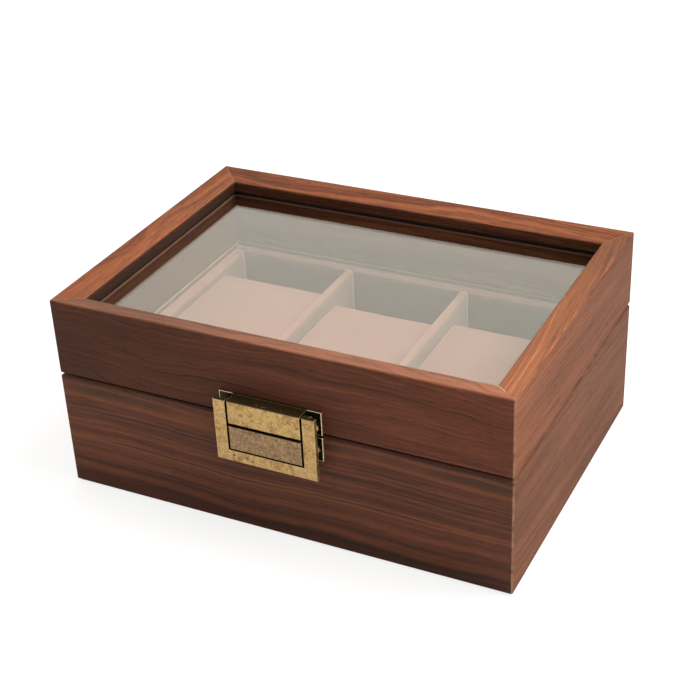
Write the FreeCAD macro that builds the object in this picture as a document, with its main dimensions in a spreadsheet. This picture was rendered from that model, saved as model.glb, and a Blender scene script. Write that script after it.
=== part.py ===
"""Hinged display box for folded eyeglasses: a base with a three-compartment lined tray, a
glass-window lid, two butt hinges at the back and a bail latch at the front.

Millimetres. +Z is up, the front faces -Y, and the origin is at the centre of the underside.
The box is closed. Lengths carry their expressions, so the model follows the sheet "Dims".
"""

import FreeCAD
import Part
import Sketcher
import os

# ---------------------------------------------------------------- driving dimensions
# Alias, value, meaning.
DIMENSIONS = [
    # Box and base
    ("box_width", 250, "outside width of the box, left to right"),
    ("box_depth", 180, "outside depth of the box, front to back"),
    ("box_height", 111, "overall height of the closed box"),
    ("seam_height", 67.4, "height of the parting line between base and lid"),
    ("seam_gap", 0.7, "open line between base and lid when closed"),
    ("seam_chamfer", 1.1, "chamfer on the outer edges at the parting line"),
    ("corner_chamfer", 0.7, "chamfer on the upright corners"),
    ("mitre_reach", 16, "how far in the mitre cut runs"),
    ("base_wall", 12.8, "thickness of the base walls"),
    ("felt_thick", 1, "thickness of the felt under the box"),
    ("felt_inset", 1.5, "how far the felt stays back from the edge"),
    ("bottom_thick", 4, "thickness of the bottom panel"),
    # Lid
    ("lid_wall", 11, "thickness of the lid frame below its lip"),
    ("liner_thick", 1.2, "thickness of the strips that hold the pane up"),
    ("lip_width", 13.7, "width of the lid frame on top"),
    ("lip_fall", 3.5, "how far the top of the frame falls towards the window"),
    ("pane_depth", 11, "depth of the pane's upper face below the top"),
    ("pane_thick", 2, "thickness of the window pane"),
    ("gasket_thick", 1.2, "thickness of the seal between pane and lip"),
    ("gasket_setback", 1.2, "how far the seal stays back behind the lip"),
    ("pane_play", 0.2, "room between the pane's edge and the frame"),
    ("frame_round", 1.0, "rounding of the frame's long edges"),
    # Tray and cushions
    ("tray_inset", 13.3, "distance of the tray's outside from the box's outside"),
    ("tray_wall", 6.6, "thickness of the tray's walls"),
    ("tray_floor", 2, "thickness of the tray's floor"),
    ("tray_top", 65.9, "height of the tray's upper edge"),
    ("divider_thick", 5.2, "thickness of a divider"),
    ("divider_centre", 35.6, "distance of a divider's middle from the centre"),
    ("lining_round", 1.4, "rounding of the lined edges"),
    ("cushion_gap", 0.4, "room between a cushion and the sides of its compartment"),
    ("cushion_length", 90, "length of a cushion, front to back"),
    ("cushion_round", 3, "rounding of a cushion's upper edges"),
    ("cushion_corner", 4.5, "rounding of a cushion's upright edges"),
    ("cushion_left_top", 64.2, "height of the left cushion's top"),
    ("cushion_middle_top", 59.8, "height of the middle cushion's top"),
    ("cushion_right_top", 60.4, "height of the right cushion's top"),
    ("cushion_left_back", 46, "how far back the left cushion reaches from the centre"),
    ("cushion_middle_back", 43.8, "how far back the middle cushion reaches from the centre"),
    ("cushion_right_back", 47, "how far back the right cushion reaches from the centre"),
    # Hinges and the screws
    ("hinge_centre", 70, "distance of a hinge's middle from the centre"),
    ("hinge_width", 30, "width of a hinge"),
    ("hinge_middle", 10, "width of the middle knuckle"),
    ("hinge_gap", 0.2, "room between two knuckles"),
    ("knuckle_radius", 2.2, "outer radius of the knuckles"),
    ("hinge_pin_radius", 1.0, "radius of the hinge pin"),
    ("pin_running_gap", 0.05, "radial room around a pin where a part turns on it"),
    ("leaf_thick", 0.9, "thickness of a hinge leaf"),
    ("leaf_reach", 9.6, "reach of a leaf from the hinge axis"),
    ("leaf_start", 2.5, "distance from the hinge axis at which the full leaf starts"),
    ("knuckle_room", 2.5, "radius cut away around the knuckles"),
    ("leaf_screw_spread", 10.5, "distance of a leaf's screws from its middle"),
    ("leaf_screw_in", 6.1, "distance of a leaf's screws from the hinge axis"),
    ("sink_radius", 1.75, "radius of a countersunk screw head"),
    ("sink_depth", 0.85, "depth of a countersunk screw head"),
    ("screw_shank_radius", 0.9, "radius of the screw shanks"),
    ("screw_length", 9, "length of the screws up to the point"),
    ("screw_point", 1.4, "length of a screw's point"),
    # Latch
    ("latch_plate_thick", 1.2, "thickness of the latch's plates"),
    ("latch_plate_width", 55.9, "width of the latch's plates"),
    ("latch_block_width", 40, "width of the latch's blocks"),
    ("latch_proud", 8.4, "how far the latch's front stands off the box"),
    ("keeper_plate_low", 68.1, "lower edge of the upper plate"),
    ("keeper_plate_high", 81, "upper edge of the upper plate"),
    ("keeper_block_low", 67.7, "lower edge of the upper block"),
    ("keeper_block_high", 80.5, "upper edge of the upper block"),
    ("catch_plate_low", 53.1, "lower edge of the lower plate"),
    ("catch_plate_high", 66.5, "upper edge of the lower plate"),
    ("catch_block_low", 52.8, "lower edge of the lower block"),
    ("catch_block_high", 66.2, "upper edge of the lower block"),
    ("block_round", 0.5, "rounding of the blocks' edges"),
    ("bail_width", 55.5, "width of the bail"),
    ("bail_low", 45.7, "lower edge of the bail"),
    ("bail_high", 80.5, "upper edge of the bail"),
    ("bail_arm_width", 6.9, "width of a bail arm"),
    ("bail_bar_height", 6.4, "height of the bail's bar"),
    ("bail_thick", 2.4, "thickness of the bail"),
    ("bail_round", 0.4, "rounding of the bail's edges"),
    ("ear_thick", 2.6, "thickness of the ears behind the arms"),
    ("ear_radius", 2.6, "radius of the ears' round ends"),
    ("bail_axis_in", 4.6, "distance of the bail's axis from the box's front"),
    ("bail_axis_height", 77.3, "height of the bail's axis"),
    ("latch_pin_radius", 1.2, "radius of the bail's pin"),
    ("latch_pin_half", 23.4, "half the length of the bail's pin"),
    ("latch_screw_spread", 24.4, "distance of the latch's screws from the centre"),
    ("keeper_screw_height", 72, "height of the upper plate's screws"),
    ("catch_screw_height", 59.6, "height of the lower plate's screws"),
    ("screw_head_radius", 2.0, "radius of the round screw heads"),
    ("screw_head_height", 1.4, "height of the round screw heads"),
    ("plate_hole_radius", 1.05, "radius of the screw holes in the latch's plates"),
]

OVERSHOOT = 1  # how far a cutting outline runs past the material
LINER_MITRE_EXTRA = 6  # how much further in the liners' mitre cut runs than the walls'
LONG_EDGE = 20  # longer than any edge across a rail or board, shorter than any along it
TOLERANCE = 1e-4  # for picking edges by place


class Length:
    """A length known both as a number and as the expression that drives it."""

    def __init__(self, text, value):
        self.text = text
        self.value = float(value)

    @staticmethod
    def of(x):
        return x if isinstance(x, Length) else Length(repr(float(x)), x)

    def join(self, sign, other, value):
        return Length(f"({self.text} {sign} {other.text})", value)

    def __add__(self, other):
        other = Length.of(other)
        return self.join("+", other, self.value + other.value)

    __radd__ = __add__

    def __sub__(self, other):
        other = Length.of(other)
        return self.join("-", other, self.value - other.value)

    def __rsub__(self, other):
        return Length.of(other) - self

    def __mul__(self, other):
        other = Length.of(other)
        return self.join("*", other, self.value * other.value)

    __rmul__ = __mul__

    def __truediv__(self, other):
        other = Length.of(other)
        return self.join("/", other, self.value / other.value)

    def __neg__(self):
        return Length(f"(0 - {self.text})", -self.value)


class Dims:
    """The driving dimensions, one Length attribute for each alias of the sheet."""

    def __init__(self, sheet):
        for row, (alias, value, meaning) in enumerate(DIMENSIONS, 1):
            sheet.set(f"A{row}", alias)
            sheet.set(f"B{row}", repr(float(value)))
            sheet.set(f"C{row}", meaning)
            sheet.setAlias(f"B{row}", alias)
            setattr(self, alias, Length("Dims." + alias, value))


doc = FreeCAD.newDocument("DisplayBox")
dims = Dims(doc.addObject("Spreadsheet::Sheet", "Dims"))
doc.recompute()

width, depth, height = dims.box_width, dims.box_depth, dims.box_height
half_width = width / 2
half_depth = depth / 2
base_top = dims.seam_height - dims.seam_gap / 2
lid_low = dims.seam_height + dims.seam_gap / 2
chamfer = dims.seam_chamfer  # the hinge axis lies this far in from the back face
hinge_axis_y = half_depth - chamfer

# ---------------------------------------------------------------- helpers
parts = []


def bind(obj, prop, length):
    """Set a property from a length, and drive it by the length's expression."""
    length = Length.of(length)
    setattr(obj, prop, length.value)
    obj.setExpression(prop, length.text)


def bound_placement(obj, prop, at, rotation):
    """Set a placement, and drive its base by the expressions of `at`."""
    at = [Length.of(c) for c in at]
    base = FreeCAD.Vector(*[c.value for c in at])
    setattr(obj, prop, FreeCAD.Placement(base, rotation))
    for c, letter in zip(at, "xyz"):
        obj.setExpression(f"{prop}.Base.{letter}", c.text)


def new_part(name, at=(0, 0, 0), turn=0):
    """A new body, modelled in its own frame and placed at `at`, turned about Z."""
    part = doc.addObject("PartDesign::Body", name)
    part.Label = name
    part.AllowCompound = True
    bound_placement(part, "Placement", at, FreeCAD.Rotation(FreeCAD.Vector(0, 0, 1), turn))
    parts.append(part)
    return part


def fix_point(drawing, kind, geometry, point, length):
    """Hold a point's distance from the sketch's origin along one axis."""
    index = drawing.addConstraint(
        Sketcher.Constraint(kind, -1, 1, geometry, point, length.value))
    drawing.setExpression(f"Constraints[{index}]", length.text)


def draw_loop(drawing, points):
    """A closed polygon through the points, every point held by dimensions."""
    points = [(Length.of(x), Length.of(y)) for x, y in points]
    first = drawing.GeometryCount
    count = len(points)
    corners = [FreeCAD.Vector(x.value, y.value, 0) for x, y in points]
    for i in range(count):
        drawing.addGeometry(Part.LineSegment(corners[i], corners[(i + 1) % count]), False)
    for i in range(count):
        drawing.addConstraint(
            Sketcher.Constraint("Coincident", first + i, 2, first + (i + 1) % count, 1))
    for i, (x, y) in enumerate(points):
        fix_point(drawing, "DistanceX", first + i, 1, x)
        fix_point(drawing, "DistanceY", first + i, 1, y)


def draw_ring(drawing, x, y, radius):
    """A circle, its centre and radius held by dimensions."""
    x, y, radius = Length.of(x), Length.of(y), Length.of(radius)
    centre = FreeCAD.Vector(x.value, y.value, 0)
    circle = drawing.addGeometry(
        Part.Circle(centre, FreeCAD.Vector(0, 0, 1), radius.value), False)
    fix_point(drawing, "DistanceX", circle, 3, x)
    fix_point(drawing, "DistanceY", circle, 3, y)
    index = drawing.addConstraint(Sketcher.Constraint("Radius", circle, radius.value))
    drawing.setExpression(f"Constraints[{index}]", radius.text)


def sketch(part, name, plane, loops=(), rings=(), at=(0, 0, 0)):
    """A sketch of polygons and (x, y, radius) rings on one of the body's origin planes.

    `at` moves the sketch's origin, in the sketch's axes. The third of these points along
    +Z on XY, -Y on XZ and +X on YZ.
    """
    drawing = part.newObject("Sketcher::SketchObject", name)
    role = plane + "_Plane"
    support = [f for f in part.Origin.OriginFeatures if f.Role == role][0]
    drawing.AttachmentSupport = [(support, "")]
    drawing.MapMode = "FlatFace"
    bound_placement(drawing, "AttachmentOffset", at, FreeCAD.Rotation())
    for points in loops:
        draw_loop(drawing, points)
    for x, y, radius in rings:
        draw_ring(drawing, x, y, radius)
    return drawing


def rectangle(x0, y0, x1, y1):
    return [(x0, y0), (x1, y0), (x1, y1), (x0, y1)]


def extrude(part, name, profile, length, both=False, cut=False, back=False):
    """A pad or pocket; `both` runs it half each way, `back` turns it round."""
    feature = part.newObject("PartDesign::Pocket" if cut else "PartDesign::Pad", name)
    feature.Profile = profile
    bind(feature, "Length", length)
    feature.Midplane = both
    feature.Reversed = back
    profile.Visibility = False
    doc.recompute()
    return feature


def revolve(part, name, profile, cut=False):
    """A full revolution of a sketch about its own vertical axis."""
    feature = part.newObject("PartDesign::Groove" if cut else "PartDesign::Revolution", name)
    feature.Profile = profile
    feature.ReferenceAxis = (profile, ["V_Axis"])
    feature.Angle = 360
    profile.Visibility = False
    doc.recompute()


def lies_at(edge, axis, *levels):
    """Whether each end of the edge has one of the given coordinates along the axis."""
    return all(
        any(abs(getattr(v.Point, axis) - Length.of(c).value) < TOLERANCE for c in levels)
        for v in edge.Vertexes)


def round_edges(part, name, feature, radius, chosen):
    """Fillet those edges of the feature for which `chosen` holds."""
    edges = [f"Edge{i}" for i, edge in enumerate(feature.Shape.Edges, 1) if chosen(edge)]
    fillet = part.newObject("PartDesign::Fillet", name)
    fillet.Base = (feature, edges)
    bind(fillet, "Radius", radius)
    doc.recompute()
    return fillet


def round_long_edges(part, name, feature, radius, *levels):
    """Round the edges that run the length of a rail or board at the given heights."""
    round_edges(part, name, feature, radius,
                lambda edge: edge.Length > LONG_EDGE and lies_at(edge, "z", *levels))


# ---------------------------------------------------------------- base walls and lid frame
# A wall runs along its local X, its outer face at local Y 0 and its inner face towards +Y.
# Name, length, place, turn about Z.
SIDES = [
    ("front", width, (0, -half_depth, 0), 0),
    ("back", width, (0, half_depth, 0), 180),
    ("left", depth, (-half_width, 0, 0), -90),
    ("right", depth, (half_width, 0, 0), 90),
]

pane_upper = height - dims.pane_depth
pane_lower = pane_upper - dims.pane_thick
lip_under = pane_upper + dims.gasket_thick

screw_reach = dims.screw_length + dims.screw_point
hinge_screws_x = [s * dims.hinge_centre + k * dims.leaf_screw_spread
                  for s in (1, -1) for k in (1, -1)]


def strip(name, length, at, turn, section):
    """A straight strip of the given section, standing on one side of the box."""
    part = new_part(name, at, turn)
    profile = sketch(part, name + "_section", "YZ", [section])
    return part, extrude(part, name + "_run", profile, length, both=True)


def cut_ends(part, name, length, outline):
    """Cut both ends of a strip; the outline is (past the end, in from the outer face)."""
    loops = [[(s * (length / 2 + past), inward) for past, inward in outline]
             for s in (1, -1)]
    profile = sketch(part, name + "_mitre", "XY", loops)
    extrude(part, name + "_mitres", profile, 3 * height, both=True, cut=True)


def mitre_wall(part, name, length):
    """Cut both ends at 45 degrees, and take the sharp upright corner off."""
    blunt, reach = dims.corner_chamfer, dims.mitre_reach
    cut_ends(part, name, length, [
        (-blunt, -OVERSHOOT), (-blunt, 0), (-blunt / 2, blunt / 2),
        (-reach, reach), (OVERSHOOT, reach), (OVERSHOOT, -OVERSHOOT),
    ])


def mitre_liner(part, name, length):
    """Cut both ends at 45 degrees along the lines that run to the box's own corners."""
    start = dims.lid_wall - OVERSHOOT
    reach = dims.mitre_reach + LINER_MITRE_EXTRA
    cut_ends(part, name, length, [
        (-start, start), (-reach, reach), (OVERSHOOT, reach), (OVERSHOOT, start),
    ])


def cut_for_hinges(part, name, rim, up):
    """Room for two hinges in a rim: knuckle hollows, leaf recesses and screw holes."""
    for s, word in ((1, "a"), (-1, "b")):
        profile = sketch(part, f"{name}_hollow_{word}", "YZ", at=(0, 0, s * dims.hinge_centre),
                         rings=[(chamfer, dims.seam_height, dims.knuckle_room)])
        extrude(part, f"{name}_hollow_cut_{word}", profile,
                dims.hinge_width + 2 * dims.hinge_gap, both=True, cut=True)
    recesses = [
        rectangle(s * dims.hinge_centre - dims.hinge_width / 2, chamfer / 2,
                  s * dims.hinge_centre + dims.hinge_width / 2, chamfer + dims.leaf_reach)
        for s in (1, -1)]
    profile = sketch(part, name + "_recess", "XY", recesses, at=(0, 0, rim))
    extrude(part, name + "_recess_cut", profile, dims.leaf_thick, cut=True, back=up)
    holes = [(x, chamfer + dims.leaf_screw_in, dims.screw_shank_radius)
             for x in hinge_screws_x]
    profile = sketch(part, name + "_pilot", "XY", rings=holes, at=(0, 0, rim))
    extrude(part, name + "_pilot_cut", profile, screw_reach, cut=True, back=up)


def cut_for_latch(part, name, screw_z):
    """Blind holes in a front wall for the latch's screws."""
    holes = [(s * dims.latch_screw_spread, screw_z, dims.screw_shank_radius)
             for s in (1, -1)]
    profile = sketch(part, name + "_pilot", "XZ", rings=holes)
    extrude(part, name + "_pilot_cut", profile, screw_reach - dims.latch_plate_thick, cut=True)


def base_panel(side, length, at, turn):
    name = f"base_{side}_panel"
    felt, wall = dims.felt_thick, dims.base_wall
    part, _ = strip(name, length, at, turn, [
        (chamfer / 2, felt), (wall, felt), (wall, base_top), (chamfer, base_top),
        (0, base_top - chamfer), (0, felt + chamfer / 2),
    ])
    mitre_wall(part, name, length)
    if side == "back":
        cut_for_hinges(part, name, base_top, up=False)
    if side == "front":
        cut_for_latch(part, name, dims.catch_screw_height)


def lid_rail(side, length, at, turn):
    """One side of the lid frame; its lip reaches in over the pane."""
    name = f"lid_{side}_rail"
    wall, lip = dims.lid_wall, dims.lip_width
    lip_top = height - dims.lip_fall
    part, run = strip(name, length, at, turn, [
        (chamfer, lid_low), (wall, lid_low), (wall, lip_under), (lip, lip_under),
        (lip, lip_top), (0, height), (0, lid_low + chamfer),
    ])
    round_long_edges(part, name + "_round", run, dims.frame_round, height, lip_top)
    mitre_wall(part, name, length)
    if side == "back":
        cut_for_hinges(part, name, lid_low, up=True)
    if side == "front":
        cut_for_latch(part, name, dims.keeper_screw_height)


def lid_liner(side, length, at, turn):
    """A strip inside the lid that holds the pane up."""
    name = f"lid_liner_{side}"
    section = rectangle(dims.lid_wall, lid_low, dims.lid_wall + dims.liner_thick, pane_lower)
    part, _ = strip(name, length, at, turn, section)
    mitre_liner(part, name, length)


for build in (base_panel, lid_rail, lid_liner):
    for side_row in SIDES:
        build(*side_row)


# ---------------------------------------------------------------- flat pieces
def centred(half_x, half_y):
    return rectangle(-half_x, -half_y, half_x, half_y)


def slab(name, outer, low, high, *openings):
    """A flat piece between two heights, with any openings cut out of it."""
    part = new_part(name, (0, 0, low))
    profile = sketch(part, name + "_outline", "XY", [outer, *openings])
    extrude(part, name + "_pad", profile, high - low)


def inset_outline(inset):
    """The box's outline, moved in."""
    return centred(half_width - inset, half_depth - inset)


tray_low = dims.felt_thick + dims.bottom_thick
well = tray_low + dims.tray_floor  # height of the tray floor's upper face
pane_outline = inset_outline(dims.lid_wall + dims.pane_play)

slab("bottom_felt", inset_outline(dims.felt_inset), Length.of(0), dims.felt_thick)
slab("bottom_panel", inset_outline(dims.base_wall), dims.felt_thick, tray_low)
slab("glass_pane", pane_outline, pane_lower, pane_upper)
slab("glass_gasket", pane_outline, pane_upper, lip_under,
     inset_outline(dims.lip_width - dims.gasket_setback))
slab("tray_floor", inset_outline(dims.tray_inset), tray_low, well)

# ---------------------------------------------------------------- lined tray
tray_x = half_width - dims.tray_inset
tray_y = half_depth - dims.tray_inset
inner_x = tray_x - dims.tray_wall
inner_y = tray_y - dims.tray_wall
divider_inner = dims.divider_centre - dims.divider_thick / 2
divider_outer = dims.divider_centre + dims.divider_thick / 2

# Name, then the outline's x0, y0, x1, y1.
BOARDS = [
    ("tray_front_wall", -tray_x, -tray_y, tray_x, -inner_y),
    ("tray_back_wall", -tray_x, inner_y, tray_x, tray_y),
    ("tray_left_wall", -tray_x, -inner_y, -inner_x, inner_y),
    ("tray_right_wall", inner_x, -inner_y, tray_x, inner_y),
    ("divider_left", -divider_outer, -inner_y, -divider_inner, inner_y),
    ("divider_right", divider_inner, -inner_y, divider_outer, inner_y),
]

# Name, left and right sides of the compartment, the cushion's back, the cushion's top.
CUSHIONS = [
    ("cushion_left", -inner_x, -divider_outer,
     dims.cushion_left_back, dims.cushion_left_top),
    ("cushion_middle", -divider_inner, divider_inner,
     dims.cushion_middle_back, dims.cushion_middle_top),
    ("cushion_right", divider_outer, inner_x,
     dims.cushion_right_back, dims.cushion_right_top),
]


def board(name, x0, y0, x1, y1):
    """An upright lined board whose upper long edges are rounded."""
    part = new_part(name, (0, 0, well))
    profile = sketch(part, name + "_outline", "XY", [rectangle(x0, y0, x1, y1)])
    tall = dims.tray_top - well
    pad = extrude(part, name + "_pad", profile, tall)
    round_long_edges(part, name + "_round", pad, dims.lining_round, tall)


def cushion(name, x0, x1, back, top):
    """A loose block with rounded edges, with room in front of it and behind it."""
    half_long = dims.cushion_length / 2
    part = new_part(name, ((x0 + x1) / 2, back - half_long, well))
    outline = centred((x1 - x0) / 2 - dims.cushion_gap, half_long)
    profile = sketch(part, name + "_outline", "XY", [outline])
    tall = top - well
    pad = extrude(part, name + "_pad", profile, tall)

    def upright(edge):
        return not lies_at(edge, "z", 0) and not lies_at(edge, "z", tall)

    sides = round_edges(part, name + "_sides", pad, dims.cushion_corner, upright)
    round_edges(part, name + "_crown", sides, dims.cushion_round,
                lambda edge: lies_at(edge, "z", tall))


for board_row in BOARDS:
    board(*board_row)
for cushion_row in CUSHIONS:
    cushion(*cushion_row)

# ---------------------------------------------------------------- hinges
# Each hinge is modelled about its own axis, which lies along X, with the leaves towards -Y.
knuckle_half = dims.hinge_middle / 2
hinge_half = dims.hinge_width / 2
reach_y = -dims.leaf_reach
start_y = -dims.leaf_start


def hinge_part(name, side):
    return new_part(name, (side * dims.hinge_centre, hinge_axis_y, dims.seam_height))


def bore_leaf(part, name, radius, face, up):
    """Bore the knuckles and countersink the screw holes, which are wide at `face`."""
    profile = sketch(part, name + "_bore", "YZ", rings=[(0, 0, radius)])
    extrude(part, name + "_bore_cut", profile, 2 * dims.hinge_width, both=True, cut=True)
    sense = 1 if up else -1
    shank = dims.screw_shank_radius
    far = face + sense * (dims.leaf_thick + OVERSHOOT)
    outline = [
        (0, face), (dims.sink_radius, face), (shank, face + sense * dims.sink_depth),
        (shank, far), (0, far),
    ]
    for s, word in ((1, "a"), (-1, "b")):
        profile = sketch(part, f"{name}_sink_{word}", "XZ", [outline],
                         at=(s * dims.leaf_screw_spread, 0, dims.leaf_screw_in))
        revolve(part, f"{name}_sink_cut_{word}", profile, cut=True)


def base_leaf(name, side):
    """The lower leaf, with the two outer knuckles."""
    part = hinge_part(name, side)
    inner = knuckle_half + dims.hinge_gap
    outline = [
        (-hinge_half, reach_y), (hinge_half, reach_y), (hinge_half, 0), (inner, 0),
        (inner, start_y), (-inner, start_y), (-inner, 0), (-hinge_half, 0),
    ]
    profile = sketch(part, name + "_outline", "XY", [outline],
                     at=(0, 0, -(dims.seam_gap / 2 + dims.leaf_thick)))
    extrude(part, name + "_plate", profile, dims.leaf_thick)
    for s, word in ((1, "a"), (-1, "b")):
        profile = sketch(part, f"{name}_knuckle_{word}", "YZ",
                         rings=[(0, 0, dims.knuckle_radius)],
                         at=(0, 0, s * (hinge_half + inner) / 2))
        extrude(part, f"{name}_knuckle_pad_{word}", profile, hinge_half - inner, both=True)
    bore_leaf(part, name, dims.hinge_pin_radius, -dims.seam_gap / 2, up=False)


def lid_leaf(name, side):
    """The upper leaf, with the middle knuckle, which turns on the pin."""
    part = hinge_part(name, side)
    outline = [
        (-hinge_half, reach_y), (hinge_half, reach_y), (hinge_half, start_y),
        (knuckle_half, start_y), (knuckle_half, 0), (-knuckle_half, 0),
        (-knuckle_half, start_y), (-hinge_half, start_y),
    ]
    profile = sketch(part, name + "_outline", "XY", [outline], at=(0, 0, dims.seam_gap / 2))
    extrude(part, name + "_plate", profile, dims.leaf_thick)
    profile = sketch(part, name + "_knuckle", "YZ", rings=[(0, 0, dims.knuckle_radius)])
    extrude(part, name + "_knuckle_pad", profile, dims.hinge_middle, both=True)
    bore_leaf(part, name, dims.hinge_pin_radius + dims.pin_running_gap,
              dims.seam_gap / 2, up=True)


def rod(part, name, radius, length):
    """A round pin along X, centred on the part's origin."""
    profile = sketch(part, name + "_section", "YZ", rings=[(0, 0, radius)])
    extrude(part, name + "_run", profile, length, both=True)


def screws(name, at, plane, places_x, outline):
    """A row of screws in one body, each the outline turned about its own axis."""
    part = new_part(name, at)
    for i, x in enumerate(places_x, 1):
        profile = sketch(part, f"{name}_outline_{i}", plane, [outline], at=(x, 0, 0))
        revolve(part, f"{name}_turn_{i}", profile)


def sunk_screws(name, face, sense):
    """The four countersunk screws of one set of leaves; `sense` is 1 for up, -1 for down."""
    shank = dims.screw_shank_radius
    screws(name, (0, hinge_axis_y - dims.leaf_screw_in, face), "XZ", hinge_screws_x, [
        (0, 0), (dims.sink_radius, 0), (shank, sense * dims.sink_depth),
        (shank, sense * dims.screw_length), (0, sense * screw_reach),
    ])


for word, side in (("left", -1), ("right", 1)):
    base_leaf(f"hinge_{word}_base_leaf", side)
    lid_leaf(f"hinge_{word}_lid_leaf", side)
    pin_name = f"hinge_{word}_pin"
    rod(hinge_part(pin_name, side), pin_name, dims.hinge_pin_radius, dims.hinge_width)

sunk_screws("hinge_base_screws", base_top, -1)
sunk_screws("hinge_lid_screws", lid_low, 1)

# ---------------------------------------------------------------- latch
# Local Y 0 is the box's front face; the latch stands out towards -Y.
proud = dims.latch_proud
plate_thick = dims.latch_plate_thick
pivot_y = -dims.bail_axis_in
pivot_z = dims.bail_axis_height


def round_front(part, name, feature, radius):
    """Round the edges around the latch's front face."""
    round_edges(part, name, feature, radius, lambda edge: lies_at(edge, "y", -proud))


def latch_half(name, plate_span, block_span, screw_z, bored):
    """A screwed plate with a block on it; the spans are (lower edge, upper edge)."""
    part = new_part(name, (0, -half_depth, 0))
    half = dims.latch_plate_width / 2
    outline = rectangle(-half, plate_span[0], half, plate_span[1])
    profile = sketch(part, name + "_plate", "XZ", [outline])
    extrude(part, name + "_plate_pad", profile, plate_thick)

    # The block starts inside the plate, so that the two join.
    half = dims.latch_block_width / 2
    outline = rectangle(-half, block_span[0], half, block_span[1])
    profile = sketch(part, name + "_block", "XZ", [outline], at=(0, 0, plate_thick / 2))
    pad = extrude(part, name + "_block_pad", profile, proud - plate_thick / 2)
    round_front(part, name + "_round", pad, dims.block_round)

    holes = [(s * dims.latch_screw_spread, screw_z, dims.plate_hole_radius)
             for s in (1, -1)]
    profile = sketch(part, name + "_holes", "XZ", rings=holes)
    extrude(part, name + "_holes_cut", profile, 4 * plate_thick, both=True, cut=True)
    if bored:
        profile = sketch(part, name + "_bore", "YZ",
                         rings=[(pivot_y, pivot_z, dims.latch_pin_radius)])
        extrude(part, name + "_bore_cut", profile, 2 * dims.latch_block_width,
                both=True, cut=True)


def round_screws(name, screw_z):
    """The two round-headed screws of one latch plate."""
    head, head_height = dims.screw_head_radius, dims.screw_head_height
    shank = dims.screw_shank_radius
    front = -(plate_thick + head_height)
    flat_radius = head * 0.55
    shoulder_radius = head * 0.9
    shoulder_depth = head_height * 0.35
    places_x = [s * dims.latch_screw_spread for s in (1, -1)]
    screws(name, (0, -half_depth, screw_z), "XY", places_x, [
        (0, front), (flat_radius, front), (shoulder_radius, front + shoulder_depth),
        (head, -plate_thick), (shank, -plate_thick),
        (shank, dims.screw_length - plate_thick), (0, screw_reach - plate_thick),
    ])


def latch_bail():
    """A flat U whose arms carry ears at the back that turn on the pin."""
    part = new_part("latch_bail", (0, -half_depth, 0))
    thick = dims.bail_thick
    low, high = dims.bail_low, dims.bail_high
    half = dims.bail_width / 2
    arm_inner = half - dims.bail_arm_width
    bar_top = low + dims.bail_bar_height
    outline = [
        (-half, low), (half, low), (half, high), (arm_inner, high),
        (arm_inner, bar_top), (-arm_inner, bar_top), (-arm_inner, high), (-half, high),
    ]
    profile = sketch(part, "bail_outline", "XZ", [outline], at=(0, 0, proud - thick))
    pad = extrude(part, "bail_pad", profile, thick)
    round_front(part, "bail_round", pad, dims.bail_round)

    ear_radius = dims.ear_radius
    ear = rectangle(-(proud - thick / 2), pivot_z - ear_radius, pivot_y, pivot_z + ear_radius)
    for s, word in ((1, "a"), (-1, "b")):
        at = (0, 0, s * (arm_inner + dims.ear_thick / 2))
        profile = sketch(part, "bail_ear_" + word, "YZ", [ear], at=at)
        extrude(part, "bail_ear_pad_" + word, profile, dims.ear_thick, both=True)
        profile = sketch(part, "bail_eye_" + word, "YZ",
                         rings=[(pivot_y, pivot_z, ear_radius)], at=at)
        extrude(part, "bail_eye_pad_" + word, profile, dims.ear_thick, both=True)
    bore = dims.latch_pin_radius + dims.pin_running_gap
    profile = sketch(part, "bail_bore", "YZ", rings=[(pivot_y, pivot_z, bore)])
    extrude(part, "bail_bore_cut", profile, 2 * dims.bail_width, both=True, cut=True)


latch_half("latch_keeper", (dims.keeper_plate_low, dims.keeper_plate_high),
           (dims.keeper_block_low, dims.keeper_block_high),
           dims.keeper_screw_height, bored=True)
latch_half("latch_catch", (dims.catch_plate_low, dims.catch_plate_high),
           (dims.catch_block_low, dims.catch_block_high),
           dims.catch_screw_height, bored=False)
round_screws("latch_keeper_screws", dims.keeper_screw_height)
round_screws("latch_catch_screws", dims.catch_screw_height)
rod(new_part("latch_pivot_pin", (0, pivot_y - half_depth, pivot_z)), "latch_pivot_pin",
    dims.latch_pin_radius, 2 * dims.latch_pin_half)
latch_bail()

# ---------------------------------------------------------------- validity and export
doc.recompute()
for obj in doc.Objects:
    if "Invalid" in obj.State or "Error" in obj.State:
        raise RuntimeError(f"{obj.Name} is in state {obj.State}")
    if obj.TypeId.startswith("PartDesign"):
        if obj.Shape.isNull() or not obj.Shape.isValid():
            raise RuntimeError(obj.Name + " has no valid shape")

os.makedirs("parts", exist_ok=True)
for part in parts:
    part.Shape.exportStep(os.path.join("parts", part.Label + ".step"))
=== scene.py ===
"""A walnut box with a glass window in its lid, a brass latch and hinges, and a velvet tray of cushions.

It stands on z = 0, centred in X and Y, with its width along X and its latch on the front, toward -Y.
"""

import math
from types import SimpleNamespace

import bmesh
import bpy
import numpy as np
from mathutils import Matrix, Vector, kdtree, noise

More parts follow.
